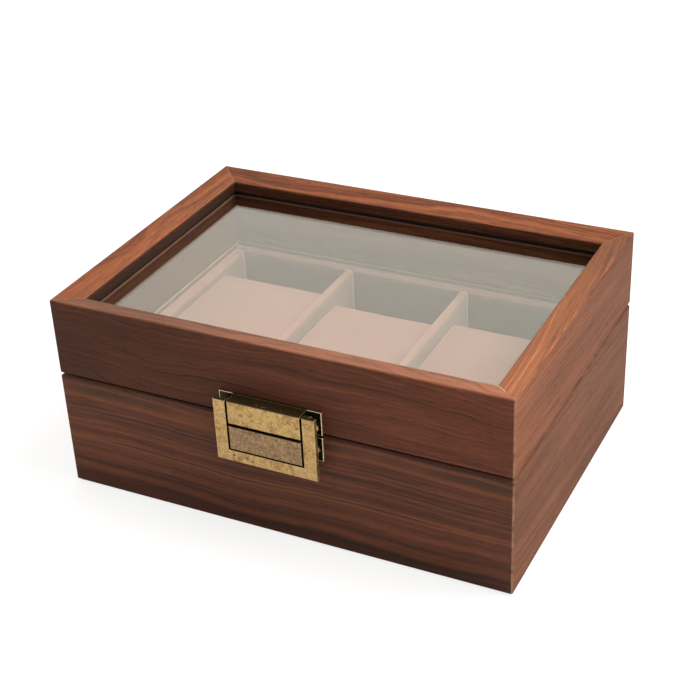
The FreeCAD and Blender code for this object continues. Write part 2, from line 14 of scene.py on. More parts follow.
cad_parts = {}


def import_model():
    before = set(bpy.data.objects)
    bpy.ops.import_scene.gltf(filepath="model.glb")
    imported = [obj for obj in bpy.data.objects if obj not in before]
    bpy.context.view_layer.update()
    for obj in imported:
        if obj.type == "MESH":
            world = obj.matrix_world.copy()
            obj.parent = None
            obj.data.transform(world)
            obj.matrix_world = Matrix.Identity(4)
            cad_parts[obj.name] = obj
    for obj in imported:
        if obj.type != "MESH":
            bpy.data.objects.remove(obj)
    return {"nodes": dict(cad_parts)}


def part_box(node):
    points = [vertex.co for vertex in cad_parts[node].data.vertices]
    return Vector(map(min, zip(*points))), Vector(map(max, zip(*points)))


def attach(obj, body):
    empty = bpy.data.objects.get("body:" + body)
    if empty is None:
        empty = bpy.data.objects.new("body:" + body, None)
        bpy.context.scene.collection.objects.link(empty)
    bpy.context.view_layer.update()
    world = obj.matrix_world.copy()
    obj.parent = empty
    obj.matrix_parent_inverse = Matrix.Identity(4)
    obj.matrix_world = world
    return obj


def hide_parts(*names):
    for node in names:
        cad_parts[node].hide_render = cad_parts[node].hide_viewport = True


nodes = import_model()["nodes"]
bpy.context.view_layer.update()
scene = bpy.context.scene

# ------------------------------------------------------------------ sizes, in metres
HALF_WIDTH = 0.125
HALF_DEPTH = 0.090
SEAM_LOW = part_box("base_front_panel")[1].z   # the parting line lies between these two
SEAM_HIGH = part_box("lid_front_rail")[0].z
PANE_LOW, PANE_TOP = (corner.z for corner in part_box("glass_pane"))
LIP_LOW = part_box("glass_gasket")[1].z
TRAY_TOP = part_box("divider_left")[1].z

BAIL_LOW, BAIL_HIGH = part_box("latch_bail")
BAIL_ARM = 0.0069                            # width of an upright arm of the bail
BAIL_BAR = 0.0064                            # height of its lower bar
ARM_INNER_X = BAIL_HIGH.x - BAIL_ARM
PLATE_FACE = -HALF_DEPTH - 0.0012            # front of the thin latch plates
PIT_X, PIT_Z = -0.0182, 0.0496               # a small dark pit in the bail
PIT_CORE, PIT_RADIUS = 0.0003, 0.0009


# ------------------------------------------------------------------ shader networks
class Value:
    """One output of a node. Arithmetic and comparison on it add math nodes; a comparison gives 0 or 1."""

    def __init__(self, net, socket):
        self.net = net
        self.socket = socket

    def __add__(self, other):
        return self.net.math("ADD", self, other)

    def __radd__(self, other):
        return self.net.math("ADD", other, self)

    def __sub__(self, other):
        return self.net.math("SUBTRACT", self, other)

    def __rsub__(self, other):
        return self.net.math("SUBTRACT", other, self)

    def __mul__(self, other):
        return self.net.math("MULTIPLY", self, other)

    def __truediv__(self, other):
        return self.net.math("DIVIDE", self, other)

    def __gt__(self, other):
        return self.net.math("GREATER_THAN", self, other)

    def __lt__(self, other):
        return self.net.math("LESS_THAN", self, other)

    def __abs__(self):
        return self.net.math("ABSOLUTE", self)

    def remap(self, low, high, start=0.0, end=1.0, smooth=True):
        """Go from `start` to `end` while this value goes from `low` to `high`."""
        kind = "SMOOTHSTEP" if smooth else "LINEAR"
        inputs = dict(enumerate((self, low, high, start, end)))
        return self.net.add("ShaderNodeMapRange", inputs, interpolation_type=kind)

    def tone(self, factor):
        """1 where this mask is 0, and `factor` where it is 1."""
        return self.remap(0.0, 1.0, 1.0, factor, smooth=False)


class Net:
    """A node tree, with short ways to add and join nodes. Colours are (red, green, blue)."""

    def __init__(self, tree):
        self.tree = tree
        tree.nodes.clear()

    def put(self, socket, value):
        if isinstance(value, Value):
            self.tree.links.new(value.socket, socket)
        else:
            socket.default_value = (*value, 1.0) if isinstance(value, tuple) else value

    def add(self, kind, inputs=(), output=0, **props):
        """Add a node; returns the named output, or a list of Values for a tuple of outputs."""
        node = self.tree.nodes.new(kind)
        for key, value in props.items():
            setattr(node, key, value)
        for key, value in dict(inputs).items():
            self.put(node.inputs[key], value)
        if isinstance(output, tuple):
            return [Value(self, node.outputs[key]) for key in output]
        return Value(self, node.outputs[output])

    def math(self, operation, *terms, clamp=False):
        return self.add("ShaderNodeMath", enumerate(terms), operation=operation, use_clamp=clamp)

    def mix(self, factor, first, second, mode="MIX"):
        return self.add("ShaderNodeMix", {0: factor, 6: first, 7: second}, 2, data_type="RGBA",
                        blend_type=mode, clamp_factor=True)

    def tinted(self, color, tint):
        return self.mix(1.0, color, tint, mode="MULTIPLY")

    def scaled(self, color, level):
        return self.add("ShaderNodeVectorMath", {0: color, "Scale": level}, operation="SCALE")

    def ramp(self, factor, stops):
        """A colour ramp through stops of (position, colour)."""
        node = self.tree.nodes.new("ShaderNodeValToRGB")
        elements = node.color_ramp.elements
        while len(elements) < len(stops):
            elements.new(0.5)
        for element, (position, color) in zip(elements, stops):
            element.position = position
            element.color = (*color, 1)
        self.put(node.inputs[0], factor)
        return Value(self, node.outputs[0])

    def noise(self, point, scale, detail, rough, distort=0.0):
        inputs = {"Vector": point, "Scale": scale, "Detail": detail, "Roughness": rough,
                  "Distortion": distort}
        return self.add("ShaderNodeTexNoise", inputs, "Fac", noise_dimensions="3D")

    def noise_at(self, x, y, z, detail, rough):
        point = self.add("ShaderNodeCombineXYZ", {0: x, 1: y, 2: z})
        return self.noise(point, 1.0, detail, rough)

    def line_noise(self, place, detail=1.0, rough=0.5):
        inputs = {"W": place, "Scale": 1.0, "Detail": detail, "Roughness": rough}
        return self.add("ShaderNodeTexNoise", inputs, "Fac", noise_dimensions="1D")

    def split(self, vector):
        return self.add("ShaderNodeSeparateXYZ", {0: vector}, (0, 1, 2))

    def point(self):
        return self.add("ShaderNodeTexCoord", output="Object")

    def facing(self):
        """The normal's x, y and z in the piece's own frame, so a pattern stays put as it turns."""
        return self.split(self.add("ShaderNodeTexCoord", output="Normal"))

    def rays(self, *names):
        return self.add("ShaderNodeLightPath", output=names)

    def bump(self, height, strength, distance, normal=None):
        inputs = {"Strength": strength, "Distance": distance, "Height": height}
        if normal is not None:
            inputs["Normal"] = normal
        return self.add("ShaderNodeBump", inputs)

    def edge_sharpness(self, radius, samples=6):
        """How sharply the surface turns here, 0 on a flat to 1 on an edge; and the rounded normal."""
        soft = self.add("ShaderNodeBevel", {"Radius": radius}, samples=samples)
        flat = self.add("ShaderNodeNewGeometry", output="Normal")
        dot = self.add("ShaderNodeVectorMath", {0: soft, 1: flat}, "Value",
                       operation="DOT_PRODUCT")
        return self.math("SUBTRACT", 1.0, dot, clamp=True), soft

    def principled(self, **inputs):
        named = {key.replace("_", " "): value for key, value in inputs.items()}
        return self.add("ShaderNodeBsdfPrincipled", named)

    def blend(self, factor, first, second):
        return self.add("ShaderNodeMixShader", {0: factor, 1: first, 2: second})

    def surface(self, shader, kind="ShaderNodeOutputMaterial"):
        node = self.tree.nodes.new(kind)
        self.put(node.inputs["Surface"], shader)


def material(name):
    made = bpy.data.materials.new(name)
    made.use_nodes = True
    return made, Net(made.node_tree)


def paint(coat, *names):
    for name in names:
        mesh = nodes[name].data
        mesh.materials.clear()
        mesh.materials.append(coat)
        for face in mesh.polygons:
            face.material_index = 0


def times(color, *factors):
    """A colour with each channel multiplied by its factor, or all by one factor."""
    if len(factors) == 1:
        factors = factors * 3
    return tuple(channel * factor for channel, factor in zip(color, factors))


# ------------------------------------------------------------------ wood
# Every board gives its own `tone` (brightness), `bands`, `rings` and `fine` (contrast of the soft
# bands, dark rings and fibres), `sharp` (where in a ring's width it starts to darken), `spacing`
# (usual ring width, metres) and `wave` (how far the rings wander). The rest have these defaults:
WALNUT = dict(
    tilt=0.0,              # slope of the rings along the board
    warm=0.0,              # warm glow in the light bands
    hairs=0.6,             # strength of the dark hairs between rings
    long=1.0,              # stretch of the fibres along the board
    orange=0.0,            # shift of hue toward orange
    ruddy=0.0,             # shift of hue toward red
    sheen=0.2,             # specular level
    foot=0.0,              # painted shade, darker toward the foot
    shade=(1.0, 1.0),      # painted light and shade, the tone at the two ends
    top=(1.0, 1.0, 1.0),   # painted light, a tint of the faces that look up
    inner=0.5,             # painted shade, the tone of the faces inside the rim
    lining=0.7,            # painted shade, the tone of the liner strip below the pane
    chamfer=(1.0, 1.0),    # painted light and shade on the up and down faces at the parting line
    outline=1.0,           # tone of the outer top edge, below 1 for a dark line
)


def board_place(net, along):
    """Where a point lies on its board, and masks for the parts of the box."""
    point = net.point()
    x, y, z = net.split(point)
    up = net.facing()[2]
    run, cross = (x, y) if along == "x" else (y, x)
    from_side = HALF_WIDTH - abs(x)
    from_end = HALF_DEPTH - abs(y)
    depth = net.math("MINIMUM", from_side, from_end)
    rim = (depth > 0.0062) * (abs(up) < 0.92) * (z > PANE_TOP - 0.0005)
    liner = (depth > 0.0107) * (z > SEAM_HIGH - 0.001) * (z < PANE_TOP - 0.0005)
    seam = (z > SEAM_LOW - 0.00115) * (z < SEAM_HIGH + 0.00115) * (depth < 0.0013)
    return SimpleNamespace(point=point, x=x, y=y, z=z, up=up, run=run, cross=cross,
                           half=HALF_WIDTH if along == "x" else HALF_DEPTH,
                           from_side=from_side, from_end=from_end, depth=depth,
                           rim=rim, liner=liner, seam=seam)


def walnut_figure(net, place, seed, style):
    """The plain figure. Returns its colour, fibres and pores."""
    z = place.z
    run = place.run + seed * 1.37
    cross = place.cross + seed * 0.53
    across = z + cross * 0.62 + place.run * style.tilt

    # the rings wander together: slow bows, then smaller waves
    bow = net.noise_at(run * 8.0, across * 16.0, seed, detail=1.0, rough=0.4)
    sway = net.noise_at(run * 24.0, across * 45.0, seed + 3.0, detail=2.0, rough=0.5)
    tremor = net.noise_at(run * 90.0, across * 160.0, seed + 5.0, detail=1.0, rough=0.5)
    flow = across + bow * (0.026 * style.wave) + sway * (0.0060 * style.wave) + tremor * 0.0007
    growth = flow * (1.0 / style.spacing)

    # each ring darkens slowly, ends in a sharp edge and has its own strength
    phase = growth + net.line_noise(growth * 0.41) * 2.6
    ring = net.math("FLOOR", phase)
    within = net.math("FRACT", phase)
    toss = net.add("ShaderNodeTexWhiteNoise", {"W": ring + seed * 7.0}, "Value",
                   noise_dimensions="1D")
    fade = net.noise_at(run * 11.0, ring * 3.7, seed + 7.0, detail=2.0, rough=0.5)
    dark_ring = within.remap(style.sharp, 0.955) * (1.0 - within.remap(0.955, 1.0))
    dark_ring = dark_ring * (0.30 + toss * 0.85) * fade.remap(0.36, 0.58)

    # finer dark hairs between the rings
    phase = growth * 2.7 + net.line_noise(growth * 1.3) * 3.0
    hair_ring = net.math("FLOOR", phase)
    within = net.math("FRACT", phase)
    hair_fade = net.noise_at(run * 22.0, hair_ring * 5.3, seed + 17.0, detail=2.0, rough=0.55)
    hair = within.remap(0.62, 0.88) * (1.0 - within.remap(0.90, 1.0))
    hair = hair * hair_fade.remap(0.50, 0.64)

    # bands, clouds, streaks, fibres and pores, each weighted into the tone
    band = net.line_noise(growth * 0.62, detail=2.0, rough=0.55)
    cloud = net.noise_at(run * 12.0, cross * 40.0, z * 40.0, detail=2.0, rough=0.5)
    streak = net.noise_at(run * 5.0, flow * 950.0, seed + 13.0, detail=3.0, rough=0.65)
    fibre = net.noise_at(run * (26.0 / style.long), cross * 1100.0, z * 1100.0,
                         detail=3.0, rough=0.62)
    weave = net.noise_at(run * (90.0 / style.long), cross * 430.0, z * 430.0,
                         detail=2.0, rough=0.55)
    pore = net.noise_at(run * 170.0, cross * 2300.0, z * 2300.0, detail=1.0, rough=0.5)
    tone = (0.52
            + (band - 0.5) * (1.7 * style.bands)
            + (cloud - 0.5) * 0.45
            + (streak - 0.5) * (1.15 * style.fine)
            + (fibre - 0.5) * (0.75 * style.fine)
            + (weave - 0.5) * (0.35 * style.fine))

    hue = (style.tone,
           style.tone * (1.0 - 0.17 * style.orange - 0.09 * style.ruddy),
           style.tone * (1.0 - 0.36 * style.orange))
    color = net.ramp(tone, [
        (0.06, times((0.046, 0.0178, 0.0102), *hue)),
        (0.34, times((0.093, 0.0325, 0.0172), *hue)),
        (0.60, times((0.152, 0.0545, 0.0275), *hue)),
        (0.95, times((0.265, 0.1010, 0.0490), *hue)),
    ])
    if style.warm:
        glow = band.remap(0.54, 0.66) * fade.remap(0.30, 0.60, 0.35, 1.0) * style.warm
        color = net.mix(glow, color, times((0.225, 0.078, 0.034), style.tone))
    pores = pore.remap(0.60, 0.72)
    for strength, dark in (
        (dark_ring * style.rings, (0.031, 0.0165, 0.0115)),
        (hair * (0.85 * style.hairs), (0.036, 0.0165, 0.0105)),
        (pores * (0.55 * style.fine), (0.024, 0.0095, 0.006)),
    ):
        color = net.mix(strength, color, times(dark, style.tone))
    return color, fibre, pores


def walnut_tones(net, place, style, color):
    """Painted light and shade in broad changes of tone: end to end, darker toward the bottom, on the
    inside faces, at the parting line and on the upper faces.
    """
    z, up, rim, liner = place.z, place.up, place.rim, place.liner
    # painted light and shade from end to end
    level = place.run.remap(-place.half, place.half, *style.shade, smooth=False)
    # painted shade, darker toward the foot
    if style.foot:
        level = level * z.remap(0.0, 0.034, 1.0 - style.foot, 1.0)
    # painted shade on the faces inside the rim and on the liner strip
    level = level * rim.tone(style.inner)
    level = level * liner.tone(style.lining)
    # painted light and shade on the faces at the parting line
    level = level * (place.seam * up.remap(0.2, 0.6)).tone(style.chamfer[0])
    level = level * (place.seam * up.remap(-0.2, -0.6)).tone(style.chamfer[1])
    color = net.scaled(color, level)
    # painted light on the faces that look up
    color = net.mix(up.remap(0.5, 0.9), color, net.tinted(color, style.top))

    # the inside faces are a greyer brown, with a painted shadow line under the lip and painted shade on
    # top of the liner
    grey = net.tinted(color, (1.04, 1.24, 1.40))
    color = net.mix(net.math("MAXIMUM", rim, liner), color, grey)
    lip_shadow = rim * (z < LIP_LOW + 0.00080) * (z > LIP_LOW - 0.0002)
    dark = net.math("MAXIMUM", lip_shadow, liner * (up > 0.7))
    color = net.mix(dark * 0.95, color, (0.006, 0.004, 0.003))
    # painted highlight along the upper edge of the liner, at the pane
    pale = liner * (z > PANE_LOW - 0.0013) * (up < 0.7)
    return net.mix(pale * 0.80, color, (0.210, 0.115, 0.085))


def walnut_wear(net, place, style, color):
    """Rubbed edges and corners, a ledge pale with wear and a painted highlight, and pale mitre lines.
    Returns colour and rounded normal.
    """
    point, x, y, z, up = place.point, place.x, place.y, place.z, place.up
    edge, soft = net.edge_sharpness(0.0008)
    rub = net.noise(point, 260.0, detail=3.0, rough=0.7)
    if style.outline != 1.0:
        rim_edge = (place.depth < 0.00080) * (z > 0.105)
        color = net.mix(rim_edge * (1.0 - style.outline), color, (0.020, 0.010, 0.006))
    wear = edge.remap(0.05, 0.30) * rub.remap(0.32, 0.60) * (1.0 - place.seam)
    color = net.mix(wear * 0.30, color, times((0.33, 0.165, 0.090), style.tone))
    corner = (place.from_side < 0.00085) * (place.from_end < 0.00085)
    color = net.mix(corner * rub.remap(0.30, 0.55, 0.15, 0.60), color, (0.42, 0.25, 0.16))
    # the narrow ledge inside the top of the base, pale with wear and a painted highlight
    ledge = (up > 0.7) * (place.depth > 0.0117) * (z < SEAM_LOW + 0.001)
    color = net.mix(ledge * 0.85, color, (0.23, 0.185, 0.14))

    # a pale line where two boards meet at 45 degrees, strongest at the front right corner
    mitre = 1.0 - abs(place.from_side - place.from_end).remap(0.00008, 0.00034)
    mitre = mitre * up.remap(0.6, 0.9) * (z > 0.09)
    near = (x > 0.0) * (y < 0.0)
    patchy = net.noise(point, 160.0, detail=2.0, rough=0.6)
    share = (0.22 + near * 0.6) * patchy.remap(0.30, 0.60, 0.35, 1.0)
    share = share * (1.0 - near * (place.from_side < 0.0075) * 0.8)
    return net.mix(mitre * share, color, (0.58, 0.47, 0.35)), soft


def walnut(name, along, seed, **changes):
    """Walnut with its figure running along "x" or "y"."""
    style = SimpleNamespace(**{**WALNUT, **changes})
    made, net = material(name)
    place = board_place(net, along)
    color, fibre, pores = walnut_figure(net, place, seed, style)
    color = walnut_tones(net, place, style, color)
    color, soft = walnut_wear(net, place, style, color)
    normal = net.bump(fibre * 0.6 - pores * 0.9, strength=0.20, distance=0.00010, normal=soft)
    net.surface(net.principled(
        Base_Color=color, Roughness=0.50 + fibre * 0.14 + pores * 0.15, Normal=normal,
        Specular_IOR_Level=style.sheen))
    return made


paint(walnut("walnut_base_front", "x", 1.0, tone=1.02, bands=0.55, rings=0.95, sharp=0.10,
             fine=0.85, spacing=0.0050, wave=0.55, warm=0.60, foot=0.42, chamfer=(0.62, 0.6),
             ruddy=1.0, hairs=0.8),
      "base_front_panel")
paint(walnut("walnut_base_back", "x", 5.0, tone=0.94, bands=0.45, rings=0.7, sharp=0.3,
             fine=0.8, spacing=0.006, wave=0.7, warm=0.3, foot=0.15, orange=0.8),
      "base_back_panel")
paint(walnut("walnut_base_left", "y", 9.0, tone=0.92, bands=0.4, rings=0.6, sharp=0.3,
             fine=0.8, spacing=0.006, wave=0.7, warm=0.3, orange=0.8),
      "base_left_panel")
paint(walnut("walnut_base_right", "y", 13.0, tone=0.79, bands=0.22, rings=0.34, sharp=0.30,
             fine=0.72, spacing=0.0055, wave=0.22, tilt=0.10, sheen=0.06, shade=(1.07, 0.91),
             chamfer=(0.9, 1.7), long=3.0),
      "base_right_panel")
paint(walnut("walnut_lid_front", "x", 17.0, tone=0.96, bands=0.22, rings=0.85, sharp=0.80,
             fine=0.85, spacing=0.0062, wave=1.10, sheen=0.15, shade=(0.53, 1.17),
             chamfer=(1.0, 0.5), top=(1.24, 1.30, 1.07), ruddy=1.0),
      "lid_front_rail", "lid_liner_front")
paint(walnut("walnut_lid_back", "x", 21.0, tone=1.0, bands=0.30, rings=0.45, sharp=0.5,
             fine=1.0, spacing=0.0045, wave=0.8, warm=0.30, sheen=0.08, orange=0.9,
             shade=(0.88, 1.12), inner=0.58, lining=0.80, outline=0.35),
      "lid_back_rail", "lid_liner_back")
paint(walnut("walnut_lid_left", "y", 25.0, tone=0.90, bands=0.30, rings=0.60, sharp=0.7,
             fine=0.9, spacing=0.0040, wave=0.5, warm=0.30, sheen=0.08, orange=1.0,
             inner=0.18, lining=0.45, outline=0.35),
      "lid_left_rail", "lid_liner_left")
paint(walnut("walnut_lid_right", "y", 29.0, tone=1.0, bands=0.22, rings=0.42, sharp=0.5,
             fine=0.76, spacing=0.0050, wave=0.30, tilt=0.08, warm=0.12, sheen=0.06,
             orange=0.30, shade=(1.20, 0.80), top=(1.30, 1.38, 1.30), chamfer=(1.0, 1.7),
             long=3.0),
      "lid_right_rail", "lid_liner_right")


# ------------------------------------------------------------------ brass
def patina_and_top_shade(net, grit):
    """The darkest patina together with painted shade of the upper faces, slightly mottled."""
    return net.mix(grit, (0.020, 0.014, 0.006), (0.085, 0.060, 0.026))


def bail_marks(net, x, z, color):
    """Faint 45 degree joints in the lower corners of the bail, and one small pit."""
    across = (BAIL_HIGH.x - abs(x)) / BAIL_ARM
    above = (z - BAIL_LOW.z) / BAIL_BAR
    joint = (1.0 - abs(across - above).remap(0.01, 0.07)) * (above < 1.0)
    color = net.mix(joint * 0.22, color, (0.16, 0.10, 0.045))
    pit_x = x - PIT_X
    pit_z = z - PIT_Z
    pit = net.math("SQRT", pit_x * pit_x + pit_z * pit_z)
    return net.mix(1.0 - pit.remap(PIT_CORE, PIT_RADIUS), color, (0.03, 0.02, 0.01))


def brass(name, tone=(0.425, 0.302, 0.129), patina=0.5, brown=0.0, rough=0.36, kind=""):
    """Antique brass: speckle and cloudy patina, bright along the edges with wear and a painted highlight,
    painted shade in corners and slots, and patina with painted shade on top.

    `kind` is "plate" or "bail" for the parts of the latch.
    """
    made, net = material(name)
    point = net.point()
    x, y, z = net.split(point)
    side, ahead, up = net.facing()
    cloud = net.noise(point, 170.0, detail=3.0, rough=0.60)
    grit = net.noise(point, 820.0, detail=3.0, rough=0.65)
    dust = net.noise(point, 2300.0, detail=2.0, rough=0.6)
    spots = net.noise(point, 520.0, detail=2.0, rough=0.55, distort=0.5)
    speckle = cloud * 0.48 + grit * 0.36 + dust * 0.16
    color = net.ramp(speckle, [
        (0.38, times(tone, 0.48, 0.42, 0.42)),
        (0.46, times(tone, 0.78, 0.73, 0.70)),
        (0.53, tone),
        (0.63, times(tone, 1.45, 1.52, 1.35)),
    ])
    if brown:
        browns = net.mix(grit.remap(0.38, 0.62), (0.127, 0.083, 0.056), (0.260, 0.178, 0.120))
        color = net.mix(brown, color, browns)
    color = net.mix(cloud.remap(0.50, 0.66, 0.0, 0.45), color, (0.24, 0.155, 0.080))
    dark = spots.remap(0.57, 0.70)
    color = net.mix(dark * patina, color, (0.115, 0.072, 0.040))

    # the upper sides carry the darkest patina and painted shade, with a few bright specks
    fleck = net.noise(point, 420.0, detail=1.0, rough=0.5).remap(0.70, 0.76)
    upper = up.remap(0.45, 0.85) * (1.0 - fleck * 0.8)
    color = net.mix(upper * 0.93, color, patina_and_top_shade(net, grit))
    if kind == "plate":
        # painted shadow on the thin plate behind the bail's arms, and painted shade between them
        ear_shadow = abs(x) > ARM_INNER_X - 0.0006
        ear_shadow = ear_shadow * (y > PLATE_FACE - 0.0003) * (ahead < -0.7)
        color = net.mix(ear_shadow * 0.96, color, (0.012, 0.008, 0.004))
        top_strip_shade = (abs(x) < ARM_INNER_X - 0.0004) * (y > PLATE_FACE - 0.0004)
        color = net.mix(top_strip_shade * 0.97, color, patina_and_top_shade(net, grit))

    # painted shade on the faces that look into the slots between the bail and the blocks
    slot_x = ARM_INNER_X + (0.0002 if kind == "bail" else -0.0004)
    slot_shade = abs(side).remap(0.5, 0.8) * (abs(x) < slot_x)
    color = net.mix(slot_shade * (0.95 if kind else 0.0), color, (0.010, 0.007, 0.004))

    # painted shade in recesses, and bright edges with wear and a painted highlight
    edge, soft = net.edge_sharpness(0.00075, samples=8)
    bright = (1.0 - up.remap(0.5, 0.9) * 0.55) * (1.0 - slot_shade)
    if kind == "plate":
        bright = bright * (1.0 - top_strip_shade)
    openness = net.add("ShaderNodeAmbientOcclusion", {"Distance": 0.0030}, "AO", samples=6)
    recess_shade = openness.remap(0.40, 0.88, 0.96, 0.0)
    color = net.mix(recess_shade, color, (0.020, 0.013, 0.006))
    bright = bright * (1.0 - recess_shade * 0.25)
    color = net.mix(edge.remap(0.006, 0.11, 0.0, 0.9) * bright, color, (0.92, 0.79, 0.48))
    if kind == "bail":
        color = bail_marks(net, x, z, color)
    normal = net.bump(grit + cloud * 0.6 + dust * 0.4, strength=0.40, distance=0.00010,
                      normal=soft)
    net.surface(net.principled(
        Base_Color=color, Metallic=0.92, Roughness=rough + speckle * 0.18 + dark * 0.15,
        Normal=normal))
    return made


paint(brass("brass_aged", kind="plate"),
      "latch_keeper", "latch_keeper_screws", "latch_pivot_pin")
paint(brass("brass_aged_brown", brown=0.75, rough=0.42, kind="plate"),
      "latch_catch", "latch_catch_screws")
paint(brass("brass_bail", tone=(0.425, 0.298, 0.134), patina=0.45, kind="bail"), "latch_bail")
paint(brass("brass_hinge", tone=(0.470, 0.335, 0.150), patina=0.40, rough=0.33),
      "hinge_left_base_leaf", "hinge_right_base_leaf", "hinge_left_lid_leaf",
      "hinge_right_lid_leaf", "hinge_left_pin", "hinge_right_pin", "hinge_base_screws",
      "hinge_lid_screws")


# ------------------------------------------------------------------ glass, seal, board, felt
def window_glass():
    """Clear glass that refracts what is seen in it, and lets shadow and diffuse rays straight through."""
    made, net = material("window_glass")
    smear = net.noise(net.point(), 18.0, detail=3.0, rough=0.6)
    glass = net.add("ShaderNodeBsdfGlass", {
        "Color": (0.985, 0.992, 0.985), "IOR": 1.5,
        "Roughness": smear.remap(0.45, 0.75, 0.0, 0.012)})
    clear = net.add("ShaderNodeBsdfTransparent", {"Color": (0.955, 0.965, 0.955)})
    shadow, diffuse = net.rays("Is Shadow Ray", "Is Diffuse Ray")
    net.surface(net.blend(net.math("MAXIMUM", shadow, diffuse), glass, clear))
    return made


def black_seal():
    made, net = material("black_seal")
    grain = net.noise(net.point(), 900.0, detail=2.0, rough=0.6)
    net.surface(net.principled(
        Base_Color=net.ramp(grain, [(0.3, (0.003,) * 3), (0.7, (0.008,) * 3)]),
        Roughness=grain.remap(0.3, 0.7, 0.6, 0.8), Specular_IOR_Level=0.2,
        Normal=net.bump(grain, strength=0.2, distance=0.00005)))
    return made


def bare_board():
    made, net = material("board")
    point = net.point()
    grain = net.noise(point, 700.0, detail=3.0, rough=0.7)
    cloud = net.noise(point, 25.0, detail=2.0, rough=0.5)
    color = net.mix(grain.remap(0.3, 0.7), (0.30, 0.20, 0.13), (0.45, 0.33, 0.22))
    color = net.mix(cloud.remap(0.4, 0.7, 0, 0.4), color, (0.26, 0.17, 0.11))
    net.surface(net.principled(
        Base_Color=color, Roughness=0.8,
        Normal=net.bump(grain, strength=0.3, distance=0.0001)))
    return made


def black_felt():
    made, net = material("felt_black")
    point = net.point()
    grain = net.noise(point, 1400.0, detail=3.0, rough=0.75)
    fuzz = net.noise(point, 300.0, detail=4.0, rough=0.7, distort=1.5)
    color = net.mix((grain * fuzz).remap(0.15, 0.4), (0.010, 0.009, 0.008),
                    (0.045, 0.040, 0.036))
    net.surface(net.principled(
        Base_Color=color, Roughness=0.95, Sheen_Weight=0.25, Sheen_Roughness=0.6,
        Normal=net.bump(fuzz, strength=0.5, distance=0.0003)))
    return made


paint(window_glass(), "glass_pane")
paint(black_seal(), "glass_gasket")
paint(bare_board(), "bottom_panel")
paint(black_felt(), "bottom_felt")


# ------------------------------------------------------------------ velvet
def velvet(name, tone, wall_shade=1.0):
    """Short-pile velvet with faint clumps and strokes, and a soft sheen at grazing angles.

    The last argument is the painted shade of the upright faces, made lighter by painted light toward the
    top of the tray.
    """
    made, net = material(name)
    base = times((0.420, 0.215, 0.165), tone)
    light = times((0.530, 0.303, 0.240), tone)
    dark = times((0.362, 0.178, 0.135), tone)
    point = net.point()
    pile = net.noise(point, 1500.0, detail=2.0, rough=0.6)
    clump = net.noise(point, 800.0, detail=3.0, rough=0.70, distort=0.3)
    stroke = net.noise(point, 32.0, detail=3.0, rough=0.55, distort=0.6)
    color = net.mix(clump.remap(0.38, 0.60), dark, base)
    color = net.mix(pile.remap(0.46, 0.68, 0, 0.65), color, light)
    color = net.mix(stroke.remap(0.40, 0.65, 0, 0.25), color, light)
    # painted shade on upright faces, lighter near the top of the tray
    if wall_shade != 1.0:
        up = net.facing()[2]
        z = net.split(point)[2]
        upright = z.remap(TRAY_TOP - 0.0052, TRAY_TOP - 0.0014, wall_shade, 0.92)
        color = net.scaled(color, abs(up).remap(0.25, 0.85, upright, 1.0))
    normal = net.bump(pile * 0.7 + clump * 0.3, strength=0.12, distance=0.00010)
    net.surface(net.principled(
        Base_Color=color, Roughness=0.95, Specular_IOR_Level=0.10, Sheen_Weight=0.30,
        Sheen_Roughness=0.5, Sheen_Tint=(1.0, 0.85, 0.80), Normal=normal))
    return made


velvet_pad = velvet("velvet_cushion", tone=0.450)
velvet_wall = velvet("velvet_lining", tone=0.46, wall_shade=0.68)
paint(velvet_wall, "tray_floor")


# ------------------------------------------------------------------ lined boards of the tray
BOARD_STEP = 0.003                                # length of one mesh step along a board
BOARD_ROUND = 0.0016                              # rounding of the top edges
BOARD_RISE = [0, 0.2, 0.4, 0.6, 0.75, 0.87, 0.95] # rows up a side, as shares of its height
ROUND_STEPS = 6
TOP_STEPS = 4


def mesh_object(name, build):
    mesh = bpy.data.meshes.new(name)
    build.to_mesh(mesh)
    build.free()
    made = bpy.data.objects.new(name, mesh)
    scene.collection.objects.link(made)
    return made


def board_profile(half, height):
    """Outline of (offset, height): up one side, over the rounded top and down the other side."""
    radius = min(BOARD_ROUND, half * 0.9)
    side = height - radius

    def corner(middle, start):
        for i in range(ROUND_STEPS + 1):
            angle = start - i / ROUND_STEPS * math.pi / 2
            yield middle + radius * math.cos(angle), side + radius * math.sin(angle)

    profile = [(-half, share * side) for share in BOARD_RISE]
    profile += corner(-half + radius, math.pi)
    profile += [(-half + radius + (2 * half - 2 * radius) * i / TOP_STEPS, height)
                for i in range(1, TOP_STEPS)]
    profile += corner(half - radius, math.pi / 2)
    profile += [(half, share * side) for share in reversed(BOARD_RISE)]
    return profile


